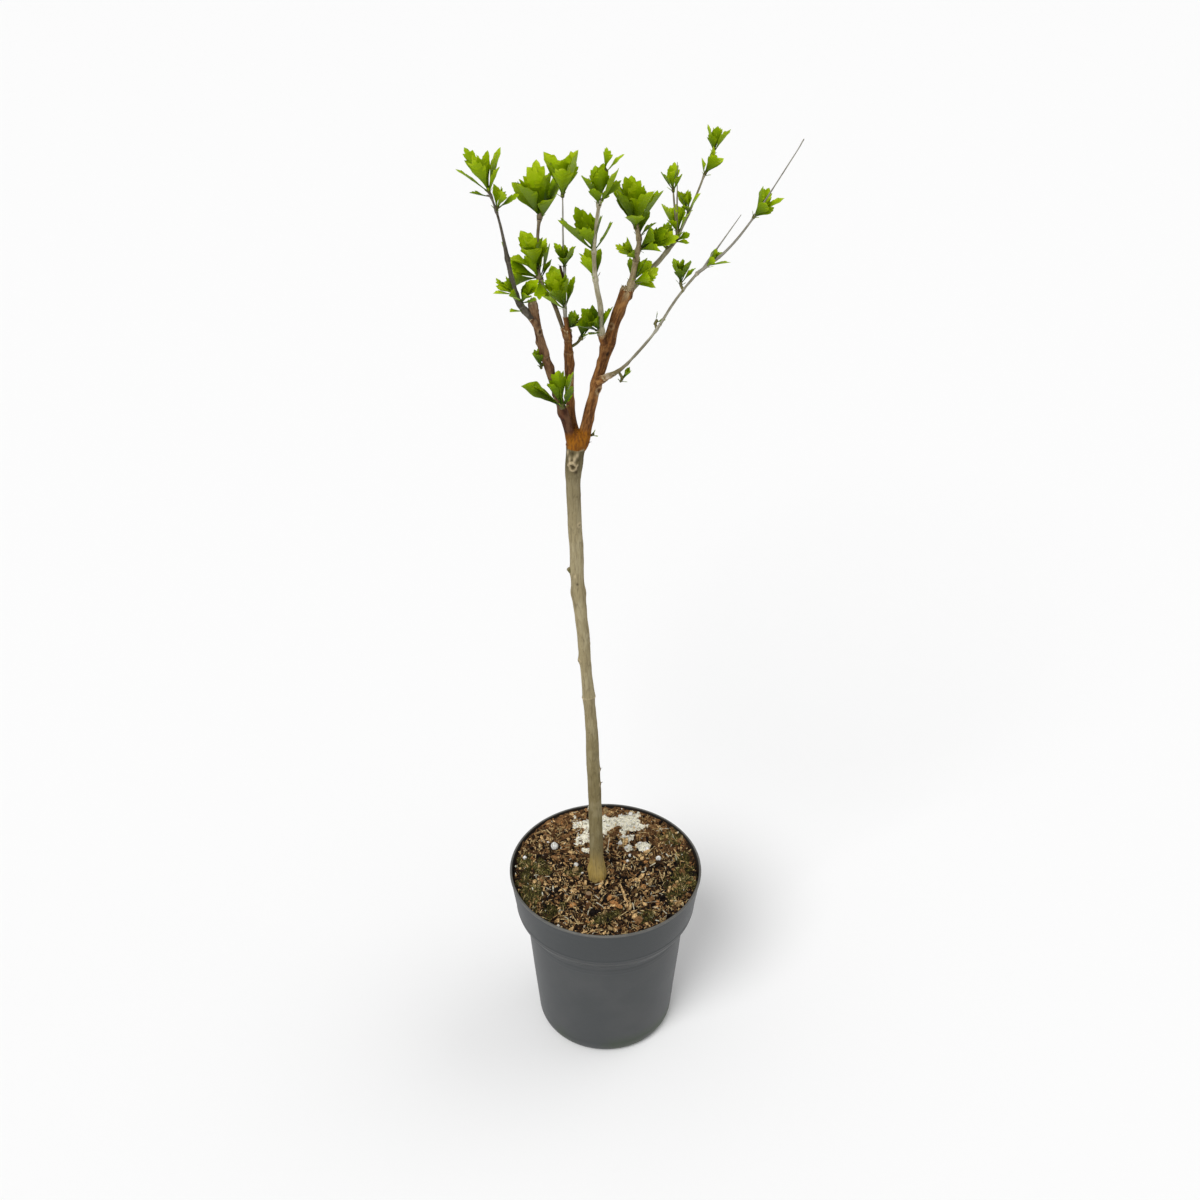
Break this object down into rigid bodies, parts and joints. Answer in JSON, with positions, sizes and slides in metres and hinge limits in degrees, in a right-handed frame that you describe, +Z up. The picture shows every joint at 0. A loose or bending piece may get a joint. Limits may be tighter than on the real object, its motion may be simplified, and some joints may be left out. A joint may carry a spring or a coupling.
{
  "type": "potted rose of sharon standard",
  "caption": "Young hibiscus standard with a bare slender trunk and an open crown of pruned boughs breaking into fresh leaf, in a round tapered nursery pot.",
  "frame": {"origin": "centre of the flat underside of the pot", "axes": "+Z up along the plant; the side that the picture shows faces -Y; +X to the right of someone who looks at that side"},
  "size_m": [0.2476, 0.2007, 0.9703],
  "materials": {
    "pot_plastic": "satin grey moulded plastic",
    "potting_mix": "rough moist bark and peat mix with fibres, moss and white granules",
    "trunk_bark": "dull grey-beige bark with knots and scars",
    "bough_bark": "dull brown bark, reddish on the older boughs",
    "foliage": "soft satin fresh green leaves on thin grey-brown stems"
  },
  "bodies": {
    "root": {"pot": "pot_plastic", "potting_mix": "potting_mix", "trunk": "trunk_bark", "left_bough": "bough_bark", "middle_bough": "bough_bark", "right_bough": "bough_bark", "right_side_bough": "bough_bark", "left_shoot": "foliage", "centre_shoot": "foliage", "centre_twig": "foliage", "pale_shoot": "foliage", "right_centre_shoot": "foliage", "right_long_shoot": "foliage", "right_tips": "foliage", "low_left_spur": "foliage", "left_spur": "foliage", "side_spur_low": "foliage", "side_spur_middle": "foliage", "side_spur_high": "foliage", "fork_spur": "foliage", "middle_spur": "foliage"}
  },
  "joints": []
}
